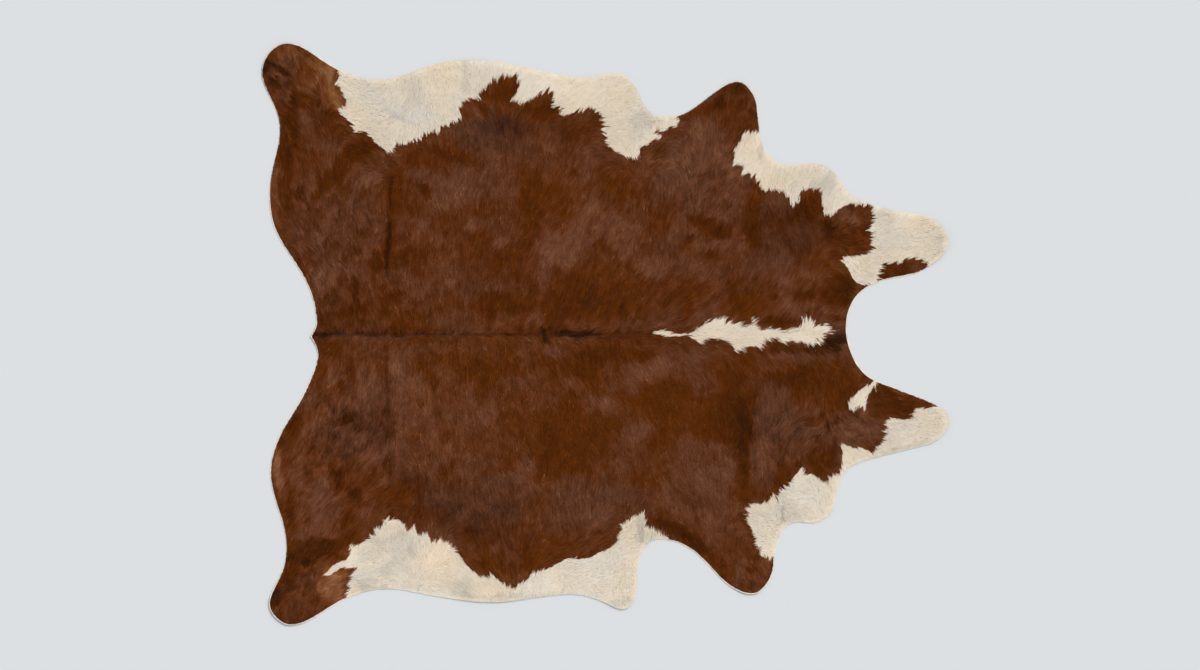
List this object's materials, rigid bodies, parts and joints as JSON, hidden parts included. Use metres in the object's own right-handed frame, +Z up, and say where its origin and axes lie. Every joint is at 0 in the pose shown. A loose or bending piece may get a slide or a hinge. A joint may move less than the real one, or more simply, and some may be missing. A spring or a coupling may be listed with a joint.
{
  "type": "cowhide rug",
  "caption": "Whole tanned cowhide laid flat as a floor rug, hair side up, brown with white patches, with leg and throat lobes round an uneven cut outline.",
  "frame": {"origin": "middle of the hide's box, on the floor that it lies on", "axes": "+X along the backbone from the tail to the neck, the longest extent; +Y towards the animal's left side; +Z up, out of the hair side, the shortest extent"},
  "size_m": [2.3, 1.9494, 0.013],
  "materials": {
    "hair_coat": "short glossy hair lying flat, red-brown with cream-white patches",
    "hide_leather": "pale napped flesh side and cut edge of the tanned skin"
  },
  "bodies": {
    "root": {"cowhide": "hair_coat"}
  },
  "joints": []
}
